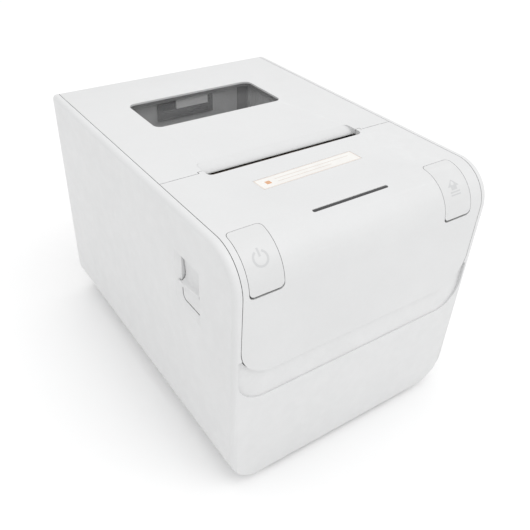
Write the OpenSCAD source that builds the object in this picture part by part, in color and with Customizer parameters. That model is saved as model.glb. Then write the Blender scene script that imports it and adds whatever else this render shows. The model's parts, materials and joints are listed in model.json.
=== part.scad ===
// Desktop receipt printer for 80 mm rolls: drop-in paper bay, lid, cutter and side release.
// Millimetres, +Z up, the front faces -Y, origin under the middle on the table plane.

/* [Body] */
// overall width across both side cheeks
body_w = 140; // [130:1:150]
// rear face position behind the origin
rear_y = 94.4; // [88:0.1:100]
// front face position at the lower edge
front_y = -92.4; // [-98:0.1:-86]
// underside of the housing above the table
under_z = 2; // [1:0.5:4]
// height of the top face at the rear edge
rear_z = 133; // [125:0.5:140]
// how far the front leans forward, degrees
lean = 1.0; // [0:0.1:3]
// how far the top rises toward the front, degrees
rise = 0.8; // [0:0.1:3]
// radius where the top rolls into the front
roll_r = 18.9; // [12:0.1:30]
// radius of the two long lower edges
low_r = 20.7; // [8:0.1:28]
// radius of the rim edges of the cheeks
rim_r = 2.2; // [0.8:0.1:3]
// inside face of each cheek, from the middle
cheek_x = 66.4; // [60:0.1:68]

/* [Covers] */
// cover wall
cover_t = 2.6; // [2:0.1:4]
// half width of the covers
cover_x = 66.1; // [60:0.1:68]
// front edge of the lid
seam_y = -28.15; // [-32:0.05:-24]
// lower edge of the front cover
cover_z = 73; // [66:0.5:80]
// top edge of the lower front panel
panel_z = 58.3; // [50:0.1:64]
// left and right edges of the window
win_x0 = -41.1; // [-50:0.1:-30]
win_x1 = 35.3; // [30:0.1:50]
// front and rear edges of the window
win_y0 = 24.7; // [15:0.1:35]
win_y1 = 59.5; // [50:0.1:70]

/* [Mechanism] */
// rubber roller radius
roll_rad = 6; // [5:0.1:8]
// roller axis, Y and Z
pl_y = -24; // [-30:0.1:-18]
pl_z = 121.5; // [115:0.1:125]
// hinge axis, Y and Z
hg_y = 84; // [80:0.5:88]
hg_z = 122; // [118:0.5:126]
// latch bar axis, Y and Z
lt_y = -51; // [-56:0.5:-46]
lt_z = 99; // [94:0.5:102]
// gear module
gm = 0.8; // [0.5:0.1:1]

/* [Paper bay] */
// inside width of the bay
bay_w = 83.6; // [80:0.1:84]
// inside radius of the bay
bay_r = 41.8; // [38:0.1:43]
// bay axis, Y and Z
bay_y = 24; // [20:0.5:30]
bay_z = 74; // [66:0.5:80]

/* [Show] */

/* [Hidden] */
$fn = 48;
// cutter pinion axis, first rack tooth, and how far the tooth nearest the pinion lies behind it
cp_x = 26; cp_y = -48; rk_y = -62.743;
rk_n = round((cp_y - rk_y)/(gm*PI)); rk_off = rk_y + rk_n*gm*PI - cp_y;
// pivot of the keys
key_y = -76.4; key_z = 129.6;
hw = body_w/2;
nty = sin(rise); ntz = cos(rise);
nfy = -cos(lean); nfz = -sin(lean);
ee = nty*rear_y + ntz*rear_z - roll_r;
ff = nfy*front_y + nfz*under_z - roll_r;
cy = (-sin(lean)*ee - cos(rise)*ff)/cos(rise + lean);
cz = (sin(rise)*ff + cos(lean)*ee)/cos(rise + lean);
function fy(z) = front_y - (z - under_z)*tan(lean);
function tz(y) = rear_z + (rear_y - y)*tan(rise);
// side outline, i = inset, zl = level of the lower edge, rt = rear top radius, fb = front bottom radius
function side(i, zl, rt = 1.6, fb = 1.6, n = 22) = concat(
  [[rear_y - i, zl]],
  [for (a = [0:30:90]) [rear_y - i - rt + rt*cos(a), tz(rear_y) - i - rt + rt*sin(a)]],
  [for (k = [0:n]) let (a = 90 - rise + k*(90 + rise + lean)/n) [cy + (roll_r - i)*cos(a), cz + (roll_r - i)*sin(a)]],
  [for (a = [180:22.5:270]) [fy(zl) + i + fb + fb*cos(a), zl + fb + fb*sin(a)]]);
// rounded rectangle as points, r = [x0y0, x1y0, x1y1, x0y1]
function rrect(x0, y0, x1, y1, r, n = 8) = concat(
  [for (k = [0:n]) let (a = 180 + 90*k/n) [x0 + r[0] + r[0]*cos(a), y0 + r[0] + r[0]*sin(a)]],
  [for (k = [0:n]) let (a = 270 + 90*k/n) [x1 - r[1] + r[1]*cos(a), y0 + r[1] + r[1]*sin(a)]],
  [for (k = [0:n]) let (a = 90*k/n) [x1 - r[2] + r[2]*cos(a), y1 - r[2] + r[2]*sin(a)]],
  [for (k = [0:n]) let (a = 90 + 90*k/n) [x0 + r[3] + r[3]*cos(a), y1 - r[3] + r[3]*sin(a)]]);
// toothed wheel outline: z teeth, first tooth centred at angle p
function wheel(z, p) = let (r = gm*z/2, ro = r + 0.85*gm, ri = r - 1.15*gm, s = 360/z)
  [for (k = [0:z-1]) for (q = [[ri, -0.33], [r, -0.21], [ro, -0.1], [ro, 0.1], [r, 0.21], [ri, 0.33]]) let (a = p + s*(k + q[1])) [q[0]*cos(a), q[0]*sin(a)]];

// solid along X between x0 and x1 from a YZ outline
module ex(x0, x1) { translate([x0, 0, 0]) rotate([90, 0, 90]) linear_extrude(x1 - x0) children(); }
// solid along Y between y0 and y1 from an XZ outline
module ey(y0, y1) { translate([0, y1, 0]) rotate([90, 0, 0]) linear_extrude(y1 - y0) children(); }
module ez(z0, z1) { translate([0, 0, z0]) linear_extrude(z1 - z0) children(); }
module box(a, b) { translate(a) cube(b - a); }
module cx(x0, x1, y, z, r) { translate([x0, y, z]) rotate([0, 90, 0]) cylinder(r = r, h = x1 - x0); }
module cyl_y(y0, y1, x, z, r) { translate([x, y1, z]) rotate([90, 0, 0]) cylinder(r = r, h = y1 - y0); }
module cyl_z(z0, z1, x, y, r) { translate([x, y, z0]) cylinder(r = r, h = z1 - z0); }
// slice of the body at x for the outer form
module slice(x, i, zl, rt = 1.6, fb = 1.6) { translate([x - 0.005, 0, 0]) rotate([90, 0, 90]) linear_extrude(0.01) polygon(side(i, zl, rt, fb)); }
function rim_i(x) = x <= hw - rim_r ? 0 : rim_r - sqrt(max(0, rim_r*rim_r - pow(x - (hw - rim_r), 2)));
// level of the lower edge at x, where the long lower edges round up
function low_z(x) = let (d = x - (hw - low_r)) d <= 0 ? under_z : under_z + low_r - sqrt(max(0, low_r*low_r - d*d));
module cheek(s) hull() for (x = [cheek_x, hw - rim_r, for (a = [15:15:90]) hw - rim_r + rim_r*sin(a)]) slice(s*(x - 0.005), rim_i(x), low_z(x));
// front view outline of the tub, inset i
module tub2d(i) polygon(concat([[-cheek_x, 160], [-cheek_x, low_z(cheek_x - 0)+ (i > 0 ? 30 : 0)]], i > 0 ? [] : [],
  [for (k = [0:24]) let (a = 180 + k*90/24, r = low_r - i, x = -(hw - low_r) + r*cos(a)) if (x > -cheek_x) [x, under_z + low_r + r*sin(a)]],
  [for (k = [0:24]) let (a = 270 + k*90/24, r = low_r - i, x = (hw - low_r) + r*cos(a)) if (x < cheek_x) [x, under_z + low_r + r*sin(a)]],
  [[cheek_x, low_z(cheek_x)+ (i > 0 ? 30 : 0)], [cheek_x, 160]]));

// shell between two insets of the side outline
module shell2d(i0, i1) { difference() { polygon(side(i0, under_z + i0, 1.6, 1.6, 28)); polygon(side(i1, under_z + i1, 0.4, 0.4, 28)); } }

module main_housing() color("white") {
  difference() {
    union() {
      cheek(-1);
      cheek(1);
      difference() {
        intersection() {
          ex(-cheek_x, cheek_x) polygon(side(0, under_z));
          ey(-110, 110) tub2d(0);
        }
        // inside of the tub
        intersection() {
          ex(-cheek_x - 0, cheek_x) polygon([[rear_y - 2.5, 0], [rear_y - 2.5, 150], [fy(150) + 5.2, 150], [fy(0) + 5.2, 0]]);
          ey(-110, 110) intersection() { tub2d(3.2); translate([-100, under_z + 2.5]) square([200, 90 - 2.5]); }
        }
        // open top and front between the cheeks
        box([-cheek_x, -110, 91.5], [cheek_x, rear_y - 2.5, 150]);
        box([-cheek_x, 80, 110.6], [cheek_x, 110, 150]);
        intersection() {
          ex(-cheek_x, cheek_x) polygon([[fy(60) + 3, 60], [fy(92) + 3, 92], [-110, 92], [-110, 60]]);
          ey(-110, -80) polygon(rrect(-cover_x - 0.3, cover_z - 0.35, cover_x + 0.3, 100, [17.2, 17.2, 0.1, 0.1], 14));
        }
      }
    }
    // ledge between front cover and lower panel
    intersection() {
      ex(-70, 70) polygon([[fy(50) + 0.6, 50], [fy(panel_z) + 0.6, panel_z], [fy(cover_z) + 1.6, cover_z], [fy(100) + 1.6, 100], [-110, 100], [-110, 50]]);
      ey(-110, -80) polygon(rrect(-67.3, panel_z, 67.3, 84.5, [14.5, 14.5, 0.3, 0.3], 10));
    }
    // floor opening for the base plate
    box([-48, -84, 0], [48, 86, 5.2]);
    // connector bay in the rear wall
    ey(80, 100) polygon(rrect(-53, 10, 53, 40, [2, 2, 2, 2], 4));
    // release window: bevelled rear and lower sides, then the opening
    hull() {
      ex(-hw - 0.3, -hw + 0.01) polygon(rrect(-67.5, 86.2, -46.4, 113.8, [0.1, 4, 0.4, 0.1], 6));
      ex(-hw - 0.3, -hw + 1.3) polygon(rrect(-67.5, 89.4, -50.2, 113.8, [0.1, 3, 0.4, 0.1], 6));
    }
    ex(-hw, -cheek_x + 1) polygon(rrect(-67.5, 89.4, -50.2, 113.8, [0.1, 3, 0.4, 0.1], 6));
  }
}

module front_cover() color("white") {
  difference() {
    union() {
      intersection() {
        ex(-cover_x, cover_x) shell2d(0, cover_t);
        ey(-110, -20) polygon(rrect(-cover_x, cover_z, cover_x, 150, [17, 17, 0.2, 0.2], 14));
        box([-80, -110, 60], [80, seam_y - 0.3, 150]);
      }
      // inner ribs that stand on the chassis sides
      for (s = [-1, 1]) ex(s*64 - 1, s*64 + 1) intersection() { shell2d(cover_t - 0.2, 9); polygon([[-110, 92], [-60, 92], [-60, 150], [-110, 150]]); }
      for (s = [-1, 1]) box([s*44.6 - 1.5, -38, 130.8], [s*44.6 + 1.5, -33, 132.6]);
      // tongues beside the paper slot
      for (s = [-1, 1]) ex(s*45.65 - 1.15, s*45.65 + 1.15) intersection() { shell2d(0, cover_t); polygon([[-40, 120], [-27.05, 120], [-27.05, 140], [-40, 140]]); }
      // ears that carry the keys
      for (c = [-55.15, 50.4]) for (s = [-1, 1]) ex(c + s*5 - 0.9, c + s*5 + 0.9) polygon([[-78.2, 128], [-73.6, 128], [-73.6, 133.1], [-75.3, 133.1], [-75.5, 131.4], [-78.2, 131.2]]);
    }
    // paper slot edge
    ez(120, 150) polygon(rrect(-44.4, -32.4, 44.4, -10, [2.8, 2.8, 0.2, 0.2], 7));
    // key openings
    key_form(-63.4, -46.9, -75.6, 115.55, 0.1, [2.4, 2.4]);
    key_form(41.9, 58.9, -74.8, 115.55, 0.1, [2.4, 2.4]);
    // light slit
    ez(120, 150) polygon(rrect(-23.7, -80.2, 17.4, -78.5, [0.8, 0.8, 0.8, 0.8], 5));
    for (c = [-55.15, 50.4]) cx(c - 8, c + 8, key_y, key_z, 0.96);
    // seat of the film strip
    intersection() { ex(-36, 30) shell2d(-0.1, 0.12); ez(130, 140) translate([-2.9, -50.1]) rotate(1.6) square([56.3, 9], center = true); }
  }
}
// region of a key, seen from above and from the front
module key_form(x0, x1, yt, zb, in, r) {
  intersection() {
    ez(100, 150) polygon(rrect(x0, -110, x1, yt, [0.2, 0.2, r[0] + in, r[0] + in], 6));
    ey(-110, -60) polygon(rrect(x0, zb, x1, 160, [r[1], r[1], 0.2, 0.2], 6));
  }
}
module key(x0, x1, yt, zb) {
  c = (x0 + x1)/2;
  intersection() {
    ex(x0 - 1, x1 + 1) shell2d(0, 2.4);
    key_form(x0, x1, yt, zb, 0, [2.4, 2.4]);
  }
  // pivot lug, stiffening rib and plunger
  ex(c - 3.8, c + 3.8) polygon([[key_y - 1.8, key_z - 1], [key_y - 1, key_z - 1.8], [key_y + 1, key_z - 1.8], [key_y + 1.6, key_z - 0.6], [-76.3, 133.2], [-79, 133.4], [-79, 131.6]]);
  cx(c - 5.8, c + 5.8, key_y, key_z, 0.9);
  ex(c - 1.5, c + 1.5) polygon([[fy(118) + 2, 117.5], [-86, 117.5], [-86, 120.5], [-88, 122], [fy(124) + 4, 124], [fy(124) + 2, 124]]);
  box([c - 1.5, -86.2, 117.5], [c + 1.5, -84.5, 120.5]);
}
module power_button() color("whitesmoke") key(-63.2, -47.1, -75.8, 116.6);
module feed_button() color("whitesmoke") key(42.1, 58.7, -75.0, 116.6);
module status_light_bar() color("dimgray") {
  intersection() {
    ez(126.05, 150) polygon(rrect(-23.5, -80.05, 17.2, -78.65, [0.65, 0.65, 0.65, 0.65], 5));
    ex(-40, 40) polygon(side(0.25, under_z, 1.6, 1.6, 28));
  }
}
module front_label() color("ivory") {
  intersection() {
    ex(-36, 30) shell2d(0.01, 0.12);
    ez(130, 140) translate([-2.9, -50.1]) rotate(1.6) polygon(rrect(-28, -4.35, 28, 4.35, [0.6, 0.6, 0.6, 0.6], 3));
  }
}

module top_cover() color("white") {
  difference() {
    union() {
      intersection() {
        ex(-cover_x, cover_x) union() {
          shell2d(0, cover_t);
          // thicker bed behind the paper exit
          polygon([[-24.9, 131.1], [-25.6, 131.4], [-25.6, 133.4], [-12, 133.6], [-12, 131.7], [-15, 130.7], [-22.2, 130.7], [-23.2, 131.1]]);
        }
        box([-80, seam_y, 113.6], [80, 120, 150]);
      }
      // tab that hangs in front of the rear wall of the bay
      box([-10.6, 61.7, 124.6], [9.5, 62.9, 131.5]);
      // side skirts
      for (s = [-1, 1]) box([s*65 - 1.1, -20, 119], [s*65 + 1.1, 90, 132.5]);
      // hinge ears
      for (s = [-1, 1]) difference() {
        ex(s*57 - 1.5, s*57 + 1.5) polygon([[74, 132.5], [hg_y - 5, hg_z], [hg_y - 4, hg_z - 4], [hg_y + 4, hg_z - 4], [hg_y + 6, hg_z + 2], [hg_y + 7.5, 132.5]]);
        cx(s*57 - 3, s*57 + 3, hg_y, hg_z, 2.06);
      }
    }
    // paper exit: sloping scoop down to a lip
    intersection() {
      ex(-44.4, 44.4) polygon([[-19.4, 136], [-19.4, tz(-19.4) + 0.05], [-19.9, tz(-19.9) - 0.28], [-20.8, tz(-20.8) - 0.65], [-22.2, tz(-22.2) - 1.2], [-23.4, tz(-23.4) - 1.75], [-24.2, tz(-24.2) - 2.2], [-24.7, 132], [-25, 131.65], [-25.05, 131.3], [-24.9, 131.05], [-24.9, 120], [-40, 120], [-40, 136]]);
      ez(120, 150) polygon(rrect(-44.4, -40, 44.4, -19.4, [0.2, 0.2, 3, 3], 6));
    }
    // corners that clear the tongues of the front cover
    for (s = [-1, 1]) box([s*45.75 - 1.4, -30, 120], [s*45.75 + 1.4, -26.75, 150]);
    // window opening
    ez(120, 150) polygon(rrect(win_x0, win_y0, win_x1, win_y1, [4, 4, 4.5, 4.5], 7));
  }
}
module lid_window() color("lightgray") {
  intersection() {
    ex(-60, 60) shell2d(0.9, cover_t + 0.05);
    ez(120, 150) polygon(rrect(win_x0 + 0.12, win_y0 + 0.12, win_x1 - 0.12, win_y1 - 0.12, [3.9, 3.9, 4.4, 4.4], 7));
  }
  intersection() {
    ex(-60, 60) shell2d(cover_t, cover_t + 1);
    ez(120, 150) polygon(rrect(win_x0 - 2, win_y0 - 2, win_x1 + 2, win_y1 + 2, [5, 5, 5, 5], 7));
  }
}
module lid_liner() color("gray") {
  difference() {
    union() {
      box([-45.5, -23.5, 116.5], [45.5, -8, 129.6]);
      box([-45.5, -22, 129.5], [45.5, -8, 130.6]);
      for (s = [-1, 1]) box([s*44.05 - 1.45, -29.4, 116.5], [s*44.05 + 1.45, -20, 126.6]);
    }
    cx(-42.6, 42.6, pl_y, pl_z, 7.2);
    box([-42.6, -34, 114], [42.6, -21.5, 127.2]);
    cx(-50, 50, pl_y, pl_z, 3.06);
    box([-40, -14, 114], [40, -10, 128]);
  }
  // plate up to the window frame
  box([-45.5, -8.1, 128.4], [45.5, 20, 131.4]);
  for (s = [-1, 1]) box([s*44 - 1.5, -8.1, 122], [s*44 + 1.5, 20, 130]);
}
module fixed_blade() color("silver") difference() { box([-41.5, -24.9, 129.7], [41.5, -22.05, 130.55]); for (k = [-1, 1]) cyl_z(129, 131, k*39, -23.3, 0.6); }

module release_lever() color("white") {
  // face: recessed finger scoop above a lip, lower half flush with the bevel
  intersection() {
    translate([0, -57, 98.9]) rotate([-8, 0, 0]) translate([0, 57, -98.9])
      ey(-72, -44) polygon([[-65.2, 120], [-67.7, 120], [-67.6, 111], [-67.2, 106.5], [-67.05, 103.8], [-67.2, 102.3], [-67.7, 101.2], [-68.5, 100.5], [-69.25, 100.1], [-69.55, 99.6], [-69.6, 98.9], [-69.4, 98.1], [-68.95, 97.3], [-68.6, 96.2], [-68.5, 94.5], [-68.5, 84], [-65.2, 84]]);
    ex(-70, -65) polygon(concat([[-66.3, 113.4], [-66.3, 89.9]], [for (k = [0:6]) [-53.3 + 2.6*cos(270 + 15*k), 92.5 + 2.6*sin(270 + 15*k)]], [[-50.7, 113.4]]));
  }
  // rear end of the lip, over the bevel
  translate([0, 0, 97.1]) linear_extrude(2) polygon([[-67.6, -54.5], [-69.2, -54.5], [-69.75, -52], [-69.9, -49.1], [-69.75, -48.6], [-69.55, -48.5], [-68.85, -50.75], [-67.6, -50.75]]);
  // knuckle with its pin, and the arm toward the latch bar
  box([-65.4, -66.2, 91.5], [-64, -64.2, 111.5]);
  cyl_z(90.4, 112.6, -64.9, -65.2, 1);
  box([-65.4, -60, 93.4], [-62.4, -57, 96.4]);
}
module latch_bar() color("silver") {
  cx(-62, 58, lt_y, lt_z, 2.4);
  ex(-62, -59.4) polygon([[lt_y - 2, lt_z - 2], [lt_y + 1, lt_z - 2.2], [lt_y + 1, lt_z + 2.2], [lt_y - 2, lt_z + 2], [-60, lt_z - 0.4], [-60, lt_z - 2.4]]);
  for (s = [-1, 1]) ex(s*50.5 - 1.5, s*50.5 + 1.5) polygon([[lt_y + 2.2, lt_z - 3.5], [lt_y + 3, lt_z + 4], [-34.5, 117], [-31.2, 121], [-30.6, 124.6], [-28.4, 125.6], [-28.6, 127], [-33.2, 127], [-36, 121.8], [-38.2, 118], [lt_y - 3.2, lt_z + 4], [lt_y - 2.6, lt_z - 3.5]]);
}

module chassis() color("darkgray") {
  difference() {
    union() {
      box([-53, -78, 5.8], [53, 84, 7.8]);
      for (x = [-28, 28]) for (y = [-60, 60]) cyl_z(4.5, 9, x, y, 4);
      for (s = [-1, 1]) box([s*47 - 1, -78, 7], [s*47 + 1, -8, 127.2]);
      box([-46.5, -46.2, 58], [46.5, -44.2, 118]);
      // legs that carry the lid hinge
      for (s = [-1, 1]) ex(s*51.5 - 1.5, s*51.5 + 1.5) union() {
        polygon([[69, 7], [75, 7], [75, 114.5], [79, 117], [hg_y - 1, hg_z - 5], [hg_y, hg_z + 5], [79, 127], [72, 127], [69, 124]]);
        translate([hg_y, hg_z]) circle(r = 5);
      }
      // crosswall and wings behind the key board
      box([-62, -78.6, 58], [62, -77, 104]);
      box([-62, -78.6, 102], [62, -77, 124]);
    }
    for (s = [-1, 1]) {
      // slot that takes the roller bearing, open upward
      box([s*47 - 2, pl_y - 5.25, pl_z], [s*47 + 2, pl_y + 5.25, 140]);
      cx(s*47 - 2, s*47 + 2, pl_y, pl_z, 5.25);
      cx(s*47 - 2, s*47 + 2, lt_y, lt_z, 2.46);
      cx(s*51.5 - 3, s*51.5 + 3, hg_y, hg_z, 2.02);
    }
    // motor shaft and idler pin
    cx(44, 50, -33, 91.7, 2.2);
    cx(44, 50, -33, 106.1, 1.52);
    // room for the cutter motor
    box([16.4, -50, 103.4], [35.6, -40, 125]);
    for (x = [-28, 28]) for (y = [-60, 60]) cyl_z(4, 10, x, y, 1.5);
    // cable window in the floor
    box([-20, -30, 4], [20, 20, 8]);
    // windows in the crosswall
    box([-40, -80, 62], [40, -76, 96]);
  }
}
module hinge_pin() color("silver") cx(-60, 60, hg_y, hg_z, 2);
module base_plate() color("lightgray") {
  difference() {
    box([-47.8, -83.8, 2], [47.8, 85.8, 4.5]);
    for (x = [-28, 28]) for (y = [-60, 60]) { cyl_z(1, 6, x, y, 1.6); cyl_z(1, 3.7, x, y, 3.1); }
    for (x = [-38, 38]) for (y = [-74, 76]) cyl_z(1, 2.9, x, y, 6.1);
  }
}
module rubber_feet() color("black") for (x = [-38, 38]) for (y = [-74, 76]) difference() { cyl_z(0, 2.9, x, y, 6); cyl_z(-1, 0.6, x, y, 2.2); }
module base_screws() color("silver") for (x = [-28, 28]) for (y = [-60, 60]) difference() {
  union() { cyl_z(2.2, 3.7, x, y, 2.8); cyl_z(3.6, 8.9, x, y, 1.45); }
  box([x - 1.6, y - 0.3, 2], [x + 1.6, y + 0.3, 2.9]); box([x - 0.3, y - 1.6, 2], [x + 0.3, y + 1.6, 2.9]);
}

module paper_bucket() color("gray") {
  difference() {
    union() {
      cx(-bay_w/2 - 1.6, bay_w/2 + 1.6, bay_y, bay_z, bay_r + 1.6);
      box([-bay_w/2 - 1.6, bay_y - bay_r - 1.6, bay_z], [bay_w/2 + 1.6, bay_y + bay_r + 1.6, 113.6]);
      box([-66.2, -7.8, 112], [66.2, 76, 113.6]);
      box([-bay_w/2 - 1.6, 23, 100], [bay_w/2 + 1.6, bay_y + bay_r + 1.6, 129]);
    }
    cx(-bay_w/2, bay_w/2, bay_y, bay_z, bay_r);
    box([-bay_w/2, bay_y - bay_r, bay_z], [bay_w/2, bay_y + bay_r, 130]);
    // guide slot in the rear wall
    box([32.3, 64, 104], [40.2, 66.6, 128]);
    box([-bay_w/2 - 3, bay_y - bay_r - 3, 104], [bay_w/2 + 3, -8, 130]);
    // notches for the hinge legs
    for (s = [-1, 1]) box([s*51.5 - 1.8, 68.7, 110], [s*51.5 + 1.8, 80, 120]);
    // seat of the paper sensor in the front wall
    box([-3.05, -21, 99.15], [3.05, -16, 101.85]);
    // feeler slot in the right wall
    box([bay_w/2 - 1, 52, 84], [bay_w/2 + 3, 58, 104]);
  }
  // ribs on the rear wall
  for (k = [-3:3]) box([k*11 - 0.8, bay_y + bay_r - 1.4, 80], [k*11 + 0.8, bay_y + bay_r + 0.2, 88]);
}
module bucket_panel() color("dimgray") { difference() { box([-21, 64.3, 117.6], [14.4, 65.75, 127.6]); box([-17.6, 63, 119.2], [10.8, 64.9, 121.2]); box([-19.4, 63, 123], [12.6, 65.1, 126.4]); for (k = [0:7]) box([-19.4 + k*4.1, 63, 122.2], [-17.2 + k*4.1, 64.7, 126.8]); } }
module paper_sensor() color("black") { box([-5, -22.2, 98], [5, -19.45, 103]); box([-3, -19.6, 99.2], [3, -17.9, 101.8]); }

module platen_roller() color("black") difference() { cx(-41, 41, pl_y, pl_z, roll_rad); cx(-42, 42, pl_y, pl_z, 3); }
module platen_shaft() color("silver") cx(-53, 58, pl_y, pl_z, 3);
module platen_bearings() color("gold") for (s = [-1, 1]) difference() { cx(s*47.2 - 1.5, s*47.2 + 1.5, pl_y, pl_z, 5.1); cx(s*47.2 - 3, s*47.2 + 3, pl_y, pl_z, 3.06); }
module platen_gear() color("beige") difference() {
  ex(53.5, 57) translate([pl_y, pl_z]) polygon(wheel(20, atan2(106.1 - pl_z, -33 - pl_y)));
  cx(52, 59, pl_y, pl_z, 3);
}
module idler_gear() color("beige") difference() {
  union() { ex(53.5, 57) translate([-33, 106.1]) polygon(wheel(24, atan2(pl_z - 106.1, pl_y + 33) + 7.5)); cx(50, 53.6, -33, 106.1, 3); }
  cx(48, 59, -33, 106.1, 1.56);
}
module gear_pin() color("silver") { cx(45.6, 58.4, -33, 106.1, 1.5); cx(57.4, 58.4, -33, 106.1, 2.6); }
module motor_pinion() color("goldenrod") difference() { ex(53.5, 57) translate([-33, 91.7]) polygon(wheel(12, 90)); cx(52, 58, -33, 91.7, 1.56); }
module feed_motor() color("silver") { cx(18, 46, -33, 91.7, 11); cx(45.9, 57.2, -33, 91.7, 1.5); cx(16.6, 18.1, -33, 91.7, 4); }

module print_head() color("tan") { box([-42, -30.9, 112], [42, -30.1, 127]); box([-41, -30.15, 120.9], [41, -30.03, 122.1]); }
module head_heatsink() color("silver") difference() {
  box([-42, -37, 108], [42, -30.9, 127]);
  for (k = [-5:5]) box([k*7.4 - 2.4, -38, 104], [k*7.4 + 2.4, -34, 124]);
}
module head_springs() color("silver") for (s = [-1, 1]) translate([s*10, -44.2, 115]) rotate([-90, 0, 0]) rotate_extrude($fn = 32)
  polygon(concat([[0, 0]], [for (k = [0:6]) for (q = [[2.2, 0], [3.1, 0.35], [3.1, 0.7]]) [q[0], k*1.02 + q[1]]], [[2.2, 7.14], [0, 7.14]]));
module cutter_frame() color("silver") difference() {
  union() { box([-46.5, -70, 127.2], [46.5, -37.6, 128.2]); for (s = [-1, 1]) box([s*44.5 - 1.5, -68, 128.1], [s*44.5 + 1.5, -50, 129.9]); }
  cyl_z(126, 130, cp_x, cp_y, 3);
  box([-30, -64, 126], [12, -46, 130]);
}
module moving_blade() color("silver") difference() {
  union() {
    difference() { box([-41.6, -68.6, 128.4], [41.6, -36.2, 129.4]); box([18, -66.2, 128], [32.4, -42, 130]); }
    // rack beside the window
    ez(128.4, 129.4) polygon(concat([[17.5, -66.8], [cp_x - 4.8 - 0.92, -66.8], [cp_x - 4.8 - 0.92, -64.6]], [for (k = [0:7]) for (q = [[-0.92, -0.33], [0, -0.21], [0.68, -0.1], [0.68, 0.1], [0, 0.21], [-0.92, 0.33]]) [cp_x - 4.8 + q[0], rk_y + (k + q[1])*gm*PI]], [[cp_x - 4.8 - 0.92, -43], [cp_x - 4.8 - 0.92, -41.5], [17.5, -41.5]]));
  }
  box([-30, -62, 128], [8, -50, 130]);
  // shallow V edge
  ez(128, 130) polygon([[-43, -36], [0, -39.5], [43, -36], [43, -30], [-43, -30]]);
}
module cutter_motor() color("silver") { cyl_z(104, 127.2, cp_x, cp_y, 9); cyl_z(127, 129.2, cp_x, cp_y, 1); }
module cutter_pinion() color("goldenrod") difference() {
  // a gap of the pinion faces the nearest rack tooth
  ez(128.4, 129.4) translate([cp_x, cp_y]) polygon(wheel(12, 195 - rk_off/4.8*180/PI));
  cyl_z(128, 130, cp_x, cp_y, 1.06);
}
module tear_bar() color("silver") difference() {
  box([-43, -38, 131.3], [43, -32.6, 132.1]);
  ez(130, 133) for (k = [-21:21]) translate([k*2, -32.6]) polygon([[-0.9, 0.2], [0, -1], [0.9, 0.2]]);
}

module button_board() color("green") {
  box([-62, -80.2, 104], [60, -78.6, 126]);
  for (x = [-55.15, 50.4]) { box([x - 3, -83.2, 116], [x + 3, -80.1, 122]); cyl_y(-83.7, -83.1, x, 119, 1.6); }
  for (x = [-18, -3.2, 12]) box([x - 1.5, -81.4, 123.9], [x + 1.5, -80.1, 125.9]);
}
module main_board() color("green") {
  difference() { box([-45.4, -70, 9], [45.4, 82, 10.6]); for (x = [-28, 28]) for (y = [-60, 60]) cyl_z(8, 12, x, y, 1.7); }
  box([-12, -8, 10.5], [6, 10, 12.4]); box([-38, -30, 10.5], [-26, -18, 12.2]);
  cyl_z(10.5, 24, -36, 20, 5); cyl_z(10.5, 22, 36, -30, 4); box([20, -68, 10.5], [40, -62, 17]); box([-40, -68, 10.5], [-14, -62, 17]);
}
module power_socket() color("black") difference() { box([-45, 79, 10.6], [-31, 93, 22.6]); cyl_y(82, 95, -38, 16.8, 4.6); }
module drawer_socket() color("black") difference() { box([-24, 76, 10.6], [-10, 93, 25]); box([-21.9, 79, 14.2], [-12.1, 95, 20.8]); box([-19.2, 79, 12.2], [-14.8, 95, 14.3]); }
module usb_socket() color("silver") { difference() { box([-2, 77, 10.6], [10, 93, 21.8]); box([-0.2, 79, 12.2], [8.2, 95, 20.2]); } box([1.2, 78, 14.4], [6.8, 90, 17.6]); }
module ethernet_socket() color("silver") difference() { box([18, 74, 10.6], [34, 93, 24.4]); box([20.1, 77, 14.6], [31.9, 95, 22.2]); box([23, 77, 12.4], [29, 95, 14.7]); }
module connector_panel() color("lightgray") difference() {
  box([-54.5, 90.3, 8], [54.5, 91.85, 42]);
  box([-45.3, 89, 10], [-30.7, 93, 22.9]); box([-24.3, 89, 10], [-9.7, 93, 25.3]); box([-2.3, 89, 10], [10.3, 93, 22.1]); box([17.7, 89, 10], [34.3, 93, 24.7]);
}

main_housing();
front_cover();
top_cover();
lid_window();
power_button();
feed_button();
status_light_bar();
release_lever();
paper_bucket();
bucket_panel();
front_label();
base_plate();
rubber_feet();
base_screws();
chassis();
hinge_pin();
lid_liner();
platen_roller();
platen_shaft();
platen_bearings();
platen_gear();
print_head();
head_heatsink();
head_springs();
feed_motor();
motor_pinion();
idler_gear();
gear_pin();
cutter_frame();
moving_blade();
fixed_blade();
cutter_motor();
cutter_pinion();
tear_bar();
latch_bar();
button_board();
main_board();
power_socket();
usb_socket();
ethernet_socket();
drawer_socket();
connector_panel();
paper_sensor();
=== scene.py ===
import json
import math

import bmesh
import bpy
from mathutils import Matrix, Vector


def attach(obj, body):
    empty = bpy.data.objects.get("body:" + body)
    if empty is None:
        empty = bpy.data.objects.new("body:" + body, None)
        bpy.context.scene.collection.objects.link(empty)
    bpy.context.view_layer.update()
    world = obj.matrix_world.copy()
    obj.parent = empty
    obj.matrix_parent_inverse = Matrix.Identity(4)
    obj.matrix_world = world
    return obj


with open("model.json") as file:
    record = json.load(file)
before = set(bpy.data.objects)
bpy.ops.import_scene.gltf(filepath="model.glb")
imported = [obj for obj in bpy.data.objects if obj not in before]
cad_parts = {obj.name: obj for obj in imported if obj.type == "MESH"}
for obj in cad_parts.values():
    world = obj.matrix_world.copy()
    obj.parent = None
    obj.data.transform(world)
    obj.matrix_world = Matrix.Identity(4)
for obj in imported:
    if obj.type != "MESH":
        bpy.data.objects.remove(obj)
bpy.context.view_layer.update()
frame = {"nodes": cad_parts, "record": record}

nodes = frame["nodes"]
MM = 0.001

# ------------------------------------------------------------------ materials


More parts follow.
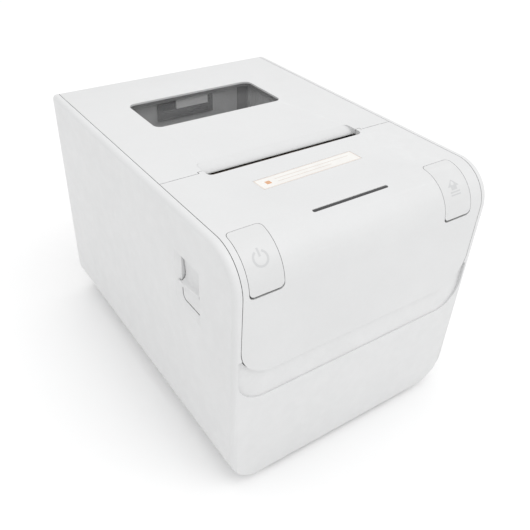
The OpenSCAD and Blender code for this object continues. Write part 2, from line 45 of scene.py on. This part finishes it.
def mat_new(name):
    m = bpy.data.materials.new(name)
    m.use_nodes = True
    nt = m.node_tree
    nt.nodes.clear()
    out = nt.nodes.new("ShaderNodeOutputMaterial")
    bs = nt.nodes.new("ShaderNodeBsdfPrincipled")
    nt.links.new(bs.outputs[0], out.inputs[0])
    tc = nt.nodes.new("ShaderNodeTexCoord")
    return m, nt, bs, tc


def noise(nt, tc, scale, detail=2.0, rough=0.5, stretch=None):
    n = nt.nodes.new("ShaderNodeTexNoise")
    n.inputs["Scale"].default_value = scale
    n.inputs["Detail"].default_value = detail
    n.inputs["Roughness"].default_value = rough
    if stretch:
        mp = nt.nodes.new("ShaderNodeMapping")
        mp.inputs["Scale"].default_value = stretch
        nt.links.new(tc.outputs["Object"], mp.inputs["Vector"])
        nt.links.new(mp.outputs[0], n.inputs["Vector"])
    else:
        nt.links.new(tc.outputs["Object"], n.inputs["Vector"])
    return n.outputs["Fac"]


def ramp(nt, fac, stops):
    r = nt.nodes.new("ShaderNodeValToRGB")
    e = r.color_ramp.elements
    while len(e) < len(stops):
        e.new(0.5)
    for k, (p, c) in enumerate(stops):
        e[k].position = p
        e[k].color = (*c, 1) if not isinstance(c, (int, float)) else (c, c, c, 1)
    nt.links.new(fac, r.inputs["Fac"])
    return r.outputs["Color"]


def remap(nt, fac, a, b, lo, hi):
    r = nt.nodes.new("ShaderNodeMapRange")
    r.inputs["From Min"].default_value = a
    r.inputs["From Max"].default_value = b
    r.inputs["To Min"].default_value = lo
    r.inputs["To Max"].default_value = hi
    nt.links.new(fac, r.inputs["Value"])
    return r.outputs["Result"]


def mix(nt, fac, a, b, blend="MIX"):
    m = nt.nodes.new("ShaderNodeMix")
    m.data_type = "RGBA"
    m.blend_type = blend
    for sock, v in ((m.inputs["Factor"], fac), (m.inputs["A"], a), (m.inputs["B"], b)):
        if hasattr(v, "is_output"):
            nt.links.new(v, sock)
        elif isinstance(v, (int, float)):
            sock.default_value = v
        else:
            sock.default_value = (*v, 1)
    return m.outputs["Result"]


def math_node(nt, op, a, b=None):
    m = nt.nodes.new("ShaderNodeMath")
    m.operation = op
    for sock, v in ((m.inputs[0], a), (m.inputs[1], b)):
        if v is None:
            continue
        if hasattr(v, "is_output"):
            nt.links.new(v, sock)
        else:
            sock.default_value = v
    return m.outputs[0]


def bump(nt, bs, height, strength, dist):
    b = nt.nodes.new("ShaderNodeBump")
    b.inputs["Strength"].default_value = strength
    b.inputs["Distance"].default_value = dist
    nt.links.new(height, b.inputs["Height"])
    nt.links.new(b.outputs[0], bs.inputs["Normal"])


def edge_mask(nt, lo=0.53, hi=0.62):
    g = nt.nodes.new("ShaderNodeNewGeometry")
    return remap(nt, g.outputs["Pointiness"], lo, hi, 0.0, 1.0)


def gap_shade(nt, base, dark, dist=0.0028, lo=0.08, hi=0.46, amount=0.9):
    """Painted shade: darkens a colour inside narrow gaps and crevices by an ambient occlusion mask."""
    ao = nt.nodes.new("ShaderNodeAmbientOcclusion")
    ao.samples = 12
    ao.inputs["Distance"].default_value = dist
    f = math_node(nt, "MULTIPLY", remap(nt, ao.outputs["AO"], lo, hi, 1.0, 0.0), amount)
    return mix(nt, f, base, dark)


def plastic(name, col, rough=0.45, grain=1400, depth=0.00002, var=0.02, wear=0.25, wear_col=None, spec=0.5, metallic=0.0):
    """Moulded plastic: cloudy tone, fine spark-eroded grain, a slightly polished, worn edge and, on light plastics,
    painted shade in narrow gaps.
    """
    m, nt, bs, tc = mat_new(name)
    cloud = noise(nt, tc, 26, 4, 0.6)
    lo = tuple(max(0, c * (1 - var)) for c in col)
    hi = tuple(min(1, c * (1 + var)) for c in col)
    base = ramp(nt, cloud, [(0.35, lo), (0.65, hi)])
    speck = noise(nt, tc, grain * 0.6, 2, 0.5)
    base = mix(nt, remap(nt, speck, 0.35, 0.7, 0.0, 0.06), base, tuple(c * 0.82 for c in col))
    e = edge_mask(nt)
    w = math_node(nt, "MULTIPLY", e, math_node(nt, "MULTIPLY", remap(nt, noise(nt, tc, 180, 3), 0.4, 0.7, 0.2, 1.0), wear))
    base = mix(nt, w, base, wear_col or tuple(min(1, c * 1.08) for c in col))
    # painted shade: light plastics are darkened inside narrow gaps and crevices
    if min(col) > 0.5:
        base = gap_shade(nt, base, tuple(c * 0.08 for c in col))
    nt.links.new(base, bs.inputs["Base Color"])
    r = remap(nt, noise(nt, tc, 60, 5, 0.65), 0.3, 0.7, rough - 0.05, rough + 0.06)
    r = math_node(nt, "SUBTRACT", r, math_node(nt, "MULTIPLY", w, 0.12))
    nt.links.new(r, bs.inputs["Roughness"])
    bs.inputs["Specular IOR Level"].default_value = spec
    bs.inputs["Metallic"].default_value = metallic
    bump(nt, bs, noise(nt, tc, grain, 3, 0.55), 0.35, depth)
    return m


def metal(name, col, rough=0.3, stretch=(1, 1, 1), var=0.12, depth=0.00001):
    """Brushed or rolled metal: fine lines along one direction, with smudges in the gloss."""
    m, nt, bs, tc = mat_new(name)
    lines = noise(nt, tc, 900, 3, 0.6, stretch)
    base = ramp(nt, lines, [(0.3, tuple(c * (1 - var) for c in col)), (0.7, tuple(min(1, c * (1 + var * 0.6)) for c in col))])
    spots = noise(nt, tc, 45, 5, 0.7)
    base = mix(nt, remap(nt, spots, 0.5, 0.75, 0.0, 0.25), base, tuple(c * 0.7 for c in col))
    nt.links.new(base, bs.inputs["Base Color"])
    nt.links.new(remap(nt, spots, 0.3, 0.7, rough - 0.08, rough + 0.12), bs.inputs["Roughness"])
    bs.inputs["Metallic"].default_value = 1.0
    bump(nt, bs, lines, 0.25, depth)
    return m


def rubber(name, col):
    m, nt, bs, tc = mat_new(name)
    n = noise(nt, tc, 700, 4, 0.6)
    nt.links.new(ramp(nt, n, [(0.3, tuple(c * 0.8 for c in col)), (0.75, tuple(c * 1.35 for c in col))]), bs.inputs["Base Color"])
    nt.links.new(remap(nt, noise(nt, tc, 90, 4), 0.3, 0.7, 0.68, 0.9), bs.inputs["Roughness"])
    bs.inputs["Specular IOR Level"].default_value = 0.3
    bump(nt, bs, n, 0.4, 0.00004)
    return m


def board(name):
    """Green solder resist with faint copper runs under it."""
    m, nt, bs, tc = mat_new(name)
    b = nt.nodes.new("ShaderNodeTexBrick")
    b.inputs["Scale"].default_value = 160
    b.inputs["Color1"].default_value = (0.010, 0.085, 0.030, 1)
    b.inputs["Color2"].default_value = (0.014, 0.115, 0.042, 1)
    b.inputs["Mortar"].default_value = (0.022, 0.16, 0.06, 1)
    b.inputs["Mortar Size"].default_value = 0.012
    nt.links.new(tc.outputs["Object"], b.inputs["Vector"])
    nt.links.new(mix(nt, remap(nt, noise(nt, tc, 60, 3), 0.4, 0.7, 0, 0.3), b.outputs["Color"], (0.008, 0.06, 0.022)), bs.inputs["Base Color"])
    nt.links.new(remap(nt, noise(nt, tc, 200, 3), 0.3, 0.7, 0.25, 0.4), bs.inputs["Roughness"])
    bump(nt, bs, b.outputs["Fac"], 0.2, 0.00003)
    return m


def window(name):
    """Thin clear panel: mostly see-through, with faint smears in its gloss."""
    m, nt, bs, tc = mat_new(name)
    n = noise(nt, tc, 35, 5, 0.65, (1, 2.5, 1))
    nt.links.new(ramp(nt, n, [(0.3, (0.24, 0.242, 0.245)), (0.7, (0.32, 0.322, 0.325))]), bs.inputs["Base Color"])
    nt.links.new(remap(nt, n, 0.3, 0.75, 0.04, 0.12), bs.inputs["Roughness"])
    nt.links.new(remap(nt, n, 0.3, 0.7, 0.10, 0.17), bs.inputs["Alpha"])
    bs.inputs["IOR"].default_value = 1.5
    bump(nt, bs, noise(nt, tc, 18, 2), 0.06, 0.0001)
    return m


def inside(nt, sock, lo, hi, soft=0.0004):
    """1 where a coordinate lies between lo and hi, with soft sides."""
    a = remap(nt, sock, lo - soft, lo + soft, 0.0, 1.0)
    b = remap(nt, sock, hi - soft, hi + soft, 1.0, 0.0)
    return math_node(nt, "MULTIPLY", a, b)


def bay(name):
    """Paper bay: grey moulded plastic with drawn streaks, painted shade that darkens the guide groove near black, and
    painted light that brightens the right wall in blotches.
    """
    m, nt, bs, tc = mat_new(name)
    sp = nt.nodes.new("ShaderNodeSeparateXYZ")
    nt.links.new(tc.outputs["Object"], sp.inputs[0])
    cloud = noise(nt, tc, 55, 5, 0.65)
    base = ramp(nt, cloud, [(0.32, (0.47, 0.473, 0.476)), (0.68, (0.58, 0.583, 0.586))])
    streak = noise(nt, tc, 420, 3, 0.6, (1, 1, 0.12))
    base = mix(nt, remap(nt, streak, 0.4, 0.65, 0.0, 0.16), base, (0.66, 0.663, 0.666))
    # painted light: the right wall's colour is brightened in blotches to stand in for light it does not get
    wall = math_node(nt, "MULTIPLY", inside(nt, sp.outputs["X"], 0.0405, 0.0450, 0.0006), inside(nt, sp.outputs["Z"], 0.0700, 0.1300, 0.02))
    painted_wall_light = ramp(nt, noise(nt, tc, 240, 5, 0.75, (1, 1, 0.5)), [(0.36, (0.62, 0.623, 0.626)), (0.66, (0.97, 0.972, 0.975))])
    base = mix(nt, math_node(nt, "MULTIPLY", wall, 0.85), base, painted_wall_light)
    # painted shade: the guide groove recess is coloured near black to stand in for its shade
    groove = math_node(nt, "MULTIPLY", inside(nt, sp.outputs["X"], 0.0323, 0.0402, 0.0002), inside(nt, sp.outputs["Y"], 0.0640, 0.0672, 0.0002))
    base = mix(nt, math_node(nt, "MULTIPLY", groove, 0.88), base, ramp(nt, streak, [(0.4, (0.018, 0.018, 0.019)), (0.6, (0.06, 0.06, 0.062))]))
    nt.links.new(base, bs.inputs["Base Color"])
    nt.links.new(remap(nt, noise(nt, tc, 70, 4), 0.3, 0.7, 0.42, 0.6), bs.inputs["Roughness"])
    bump(nt, bs, noise(nt, tc, 900, 3), 0.35, 0.00004)
    return m


def film(name, cx, cy, ang, hw, hh):
    """Printed strip: cream film, hairline frame and two plain rules."""
    m, nt, bs, tc = mat_new(name)
    mp = nt.nodes.new("ShaderNodeMapping")
    mp.vector_type = "TEXTURE"
    mp.inputs["Location"].default_value = (cx, cy, 0)
    mp.inputs["Rotation"].default_value = (0, 0, ang)
    nt.links.new(tc.outputs["Object"], mp.inputs["Vector"])
    sp = nt.nodes.new("ShaderNodeSeparateXYZ")
    nt.links.new(mp.outputs[0], sp.inputs[0])
    ax = math_node(nt, "ABSOLUTE", sp.outputs["X"])
    ay = math_node(nt, "ABSOLUTE", sp.outputs["Y"])
    inx = math_node(nt, "SUBTRACT", hw, ax)
    iny = math_node(nt, "SUBTRACT", hh, ay)
    d = math_node(nt, "MINIMUM", inx, iny)
    line = math_node(nt, "MULTIPLY", math_node(nt, "GREATER_THAN", d, 0.00022), math_node(nt, "LESS_THAN", d, 0.00052))
    # two short rules inside the frame
    rules = None
    for yy, x0, x1 in ((0.00125, -0.0185, 0.024), (-0.00125, -0.0185, 0.012)):
        r = math_node(nt, "LESS_THAN", math_node(nt, "ABSOLUTE", math_node(nt, "SUBTRACT", sp.outputs["Y"], yy)), 0.00017)
        r = math_node(nt, "MULTIPLY", r, math_node(nt, "GREATER_THAN", sp.outputs["X"], x0))
        r = math_node(nt, "MULTIPLY", r, math_node(nt, "LESS_THAN", sp.outputs["X"], x1))
        rules = r if rules is None else math_node(nt, "ADD", rules, r)
    # a plain square spot at the left
    sq = math_node(nt, "MULTIPLY", math_node(nt, "LESS_THAN", math_node(nt, "ABSOLUTE", math_node(nt, "ADD", sp.outputs["X"], 0.0228)), 0.0013),
                   math_node(nt, "LESS_THAN", math_node(nt, "ABSOLUTE", sp.outputs["Y"]), 0.0013))
    cream = ramp(nt, noise(nt, tc, 120, 3), [(0.3, (0.76, 0.745, 0.72)), (0.7, (0.80, 0.79, 0.765))])
    c = mix(nt, math_node(nt, "MULTIPLY", line, 0.6), cream, (0.55, 0.36, 0.24))
    c = mix(nt, math_node(nt, "MULTIPLY", rules, 0.55), c, (0.50, 0.36, 0.27))
    c = mix(nt, math_node(nt, "MULTIPLY", sq, 0.85), c, (0.62, 0.28, 0.10))
    nt.links.new(c, bs.inputs["Base Color"])
    nt.links.new(remap(nt, noise(nt, tc, 90, 3), 0.3, 0.7, 0.24, 0.36), bs.inputs["Roughness"])
    bump(nt, bs, noise(nt, tc, 400, 2), 0.08, 0.00002)
    return m


WHITE = (0.680, 0.683, 0.685)
M = {
    "shell_white": plastic("shell_white", WHITE, 0.42, 1500, 0.000018, 0.012, 0.35),
    "key_white": plastic("key_white", (0.660, 0.663, 0.664), 0.34, 2200, 0.00001, 0.01, 0.4),
    "bay_grey": bay("bay_grey"),
    "panel_grey": plastic("panel_grey", (0.30, 0.303, 0.306), 0.48, 1000, 0.00003, 0.05, 0.3, (0.42, 0.42, 0.425)),
    "dark_plastic": plastic("dark_plastic", (0.022, 0.022, 0.024), 0.42, 1100, 0.00003, 0.1, 0.4, (0.09, 0.09, 0.095)),
    "light_pipe": plastic("light_pipe", (0.035, 0.035, 0.037), 0.22, 1500, 0.000006, 0.08, 0.2, (0.1, 0.1, 0.1)),
    "gear_plastic": plastic("gear_plastic", (0.70, 0.67, 0.56), 0.38, 900, 0.00003, 0.03, 0.3),
    "head_ceramic": plastic("head_ceramic", (0.25, 0.15, 0.08), 0.18, 1500, 0.00001, 0.05, 0.2),
    "soft_rubber": rubber("soft_rubber", (0.022, 0.022, 0.022)),
    "plated_steel": metal("plated_steel", (0.62, 0.63, 0.64), 0.26, (0.08, 1, 1)),
    "sheet_steel": metal("sheet_steel", (0.48, 0.49, 0.50), 0.36, (1, 0.08, 1)),
    "blade_steel": metal("blade_steel", (0.66, 0.67, 0.68), 0.22, (1, 0.05, 1)),
    "bearing_brass": metal("bearing_brass", (0.62, 0.42, 0.16), 0.3, (0.1, 1, 1)),
    "heatsink_aluminium": metal("heatsink_aluminium", (0.60, 0.61, 0.62), 0.34, (1, 1, 0.08)),
    "board_green": board("board_green"),
    "clear_window": window("clear_window"),
    "film_strip": film("film_strip", -0.0029, -0.0501, math.radians(1.6), 0.028, 0.00435),
    "print_grey": plastic("print_grey", (0.565, 0.57, 0.575), 0.5, 2000, 0.000006, 0.02, 0.0),
}

slot_of = {s["node"]: s["material_slot"] for s in frame["record"]["subparts"]} if "subparts" in frame["record"] else {}

# ------------------------------------------------------------------ CAD nodes

EDGE = {"main_housing": 0.30, "front_cover": 0.28, "top_cover": 0.28, "power_button": 0.25, "feed_button": 0.25, "release_lever": 0.22,
        "lid_window": 0.12, "status_light_bar": 0.08, "paper_bucket": 0.5, "front_label": 0.0, "base_plate": 0.3,
        "chassis": 0.12, "rubber_feet": 0.35, "moving_blade": 0.0, "fixed_blade": 0.0, "tear_bar": 0.0, "cutter_frame": 0.08}

for name, o in nodes.items():
    me = o.data
    if "custom_normal" in me.attributes:
        me.attributes.remove(me.attributes["custom_normal"])
    me.polygons.foreach_set("use_smooth", [True] * len(me.polygons))
    for a in ("sharp_edge", "sharp_face"):
        if a in me.attributes:
            me.attributes.remove(me.attributes[a])
    slot = slot_of.get(name) or (me.materials[0].name.split(".")[0] if me.materials else "shell_white")
    me.materials.clear()
    me.materials.append(M["panel_grey" if name == "connector_panel" else slot])
    w = o.modifiers.new("weld", "WELD")
    w.merge_threshold = 0.000004
    e = EDGE.get(name, 0.12)
    if e:
        b = o.modifiers.new("soft_edges", "BEVEL")
        b.width = e * MM
        b.segments = 2
        b.limit_method = "ANGLE"
        b.angle_limit = math.radians(38)
        b.use_clamp_overlap = True
        b.harden_normals = True
        b.miter_outer = "MITER_ARC"
    else:
        s = o.modifiers.new("creases", "EDGE_SPLIT")
        s.split_angle = math.radians(30)

# ------------------------------------------------------------------ printed marks

CY, CZ, R = -75.5, 116.47, 18.9


def on_roll(xc, a0, u, v, h):
    """Point on the rolled corner of the front cover: u to the right, v up the surface, h proud, in mm."""
    a = math.radians(a0) - v / R
    return Vector((xc + u, CY + (R + h) * math.cos(a), CZ + (R + h) * math.sin(a))) * MM


def strip_mesh(bm, pts_a, pts_b, place, top=0.035, bottom=-0.12, closed=False):
    """Closed thin solid between two rows of (u, v) points."""
    rows = []
    for pts, h in ((pts_a, top), (pts_b, top), (pts_b, bottom), (pts_a, bottom)):
        rows.append([bm.verts.new(place(u, v, h)) for u, v in pts])
    n = len(pts_a)
    for r in range(4):
        p, q = rows[r], rows[(r + 1) % 4]
        for k in range(n if closed else n - 1):
            j = (k + 1) % n
            bm.faces.new((p[k], p[j], q[j], q[k]))
    if not closed:
        bm.faces.new([rows[r][0] for r in range(4)])
        bm.faces.new([rows[r][n - 1] for r in (3, 2, 1, 0)])


def seg(a, b, w, n=6):
    """Two rows of points along a straight bar from a to b, w wide."""
    dx, dy = b[0] - a[0], b[1] - a[1]
    L = math.hypot(dx, dy)
    nx, ny = -dy / L * w / 2, dx / L * w / 2
    A = [(a[0] + dx * k / n + nx, a[1] + dy * k / n + ny) for k in range(n + 1)]
    B = [(a[0] + dx * k / n - nx, a[1] + dy * k / n - ny) for k in range(n + 1)]
    return A, B


def finish_mesh(bm, name, slot, body, smooth=False):
    bmesh.ops.recalc_face_normals(bm, faces=bm.faces)
    me = bpy.data.meshes.new(name)
    bm.to_mesh(me)
    bm.free()
    if smooth:
        me.polygons.foreach_set("use_smooth", [True] * len(me.polygons))
    o = bpy.data.objects.new(name, me)
    bpy.context.scene.collection.objects.link(o)
    me.materials.append(M[slot])
    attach(o, body)
    return o


bm = bmesh.new()
place = lambda u, v, h: on_roll(-55.3, 135.8, u, v, h)
ring_o = [(3.6 * math.cos(math.radians(t)), 3.6 * math.sin(math.radians(t)) - 0.2) for t in range(118, 423, 8)]
ring_i = [(2.7 * math.cos(math.radians(t)), 2.7 * math.sin(math.radians(t)) - 0.2) for t in range(118, 423, 8)]
strip_mesh(bm, ring_o, ring_i, place)
A, B = seg((0, 0.5), (0, 4.1), 0.9)
strip_mesh(bm, A, B, place)
p = finish_mesh(bm, "power_mark", "print_grey", "power_key")

bm = bmesh.new()
place = lambda u, v, h: on_roll(50.1, 135.8, u, v, h)
arrow_a = [(-3.4 + 0.5667 * k, 0.5) for k in range(13)]
arrow_b = [(-3.4 + 0.5667 * k, 0.5 + 3.3 * (1 - abs(k - 6) / 6) + 0.05) for k in range(13)]
strip_mesh(bm, arrow_a, arrow_b, place)
A, B = seg((-1.7, -0.35), (1.7, -0.35), 1.55)
strip_mesh(bm, A, B, place)
for k, hw in enumerate((3.0, 3.0)):
    A, B = seg((-hw, -2.1 - 1.35 * k), (hw, -2.1 - 1.35 * k), 0.6)
    strip_mesh(bm, A, B, place)
p = finish_mesh(bm, "feed_mark", "print_grey", "feed_key")

# ------------------------------------------------------------------ stage, light, camera

bm = bmesh.new()
bmesh.ops.create_grid(bm, x_segments=1, y_segments=1, size=4.0)
me = bpy.data.meshes.new("floor")
bm.to_mesh(me)
bm.free()
floor = bpy.data.objects.new("floor", me)
bpy.context.scene.collection.objects.link(floor)
m, nt, bs, tc = mat_new("floor_paper")
nt.links.new(ramp(nt, noise(nt, tc, 3, 2), [(0.3, (0.93, 0.93, 0.93)), (0.7, (0.95, 0.95, 0.95))]), bs.inputs["Base Color"])
bs.inputs["Roughness"].default_value = 0.9
bs.inputs["Specular IOR Level"].default_value = 0.1
me.materials.append(m)

world = bpy.data.worlds.new("studio")
bpy.context.scene.world = world
world.use_nodes = True
world.node_tree.nodes["Background"].inputs["Color"].default_value = (1, 1, 1, 1)
world.node_tree.nodes["Background"].inputs["Strength"].default_value = 0.96


def area(name, loc, target, size, power, col=(1, 1, 1)):
    l = bpy.data.lights.new(name, "AREA")
    l.shape = "SQUARE"
    l.size = size
    l.energy = power
    l.color = col
    o = bpy.data.objects.new(name, l)
    bpy.context.scene.collection.objects.link(o)
    o.location = loc
    o.rotation_euler = (Vector(target) - Vector(loc)).to_track_quat("-Z", "Y").to_euler()
    return o


area("key_soft", (0.5, -1.0, 1.5), (0, 0, 0.07), 1.2, 5.6)
area("top_soft", (-0.1, 0.2, 1.8), (0, 0, 0.07), 1.4, 4.4)

bpy.context.scene.view_settings.view_transform = "Standard"
bpy.context.scene.view_settings.look = "None"

cam = bpy.data.cameras.new("camera")
cam.sensor_width = 36
cam.lens = 640.386 / 530 * 36
cam.clip_start, cam.clip_end = 0.01, 20
co = bpy.data.objects.new("camera", cam)
bpy.context.scene.collection.objects.link(co)
fwd = Vector((0.47352, 0.65472, -0.58917)).normalized()
right = Vector((0.82540, -0.56330, 0.03741)).normalized()
up = right.cross(fwd).normalized()
right = fwd.cross(up).normalized()
rot = Matrix((right, up, -fwd)).transposed()
co.matrix_world = Matrix.Translation(Vector((-168.113, -248.089, 268.513)) * MM) @ rot.to_4x4()
bpy.context.scene.camera = co
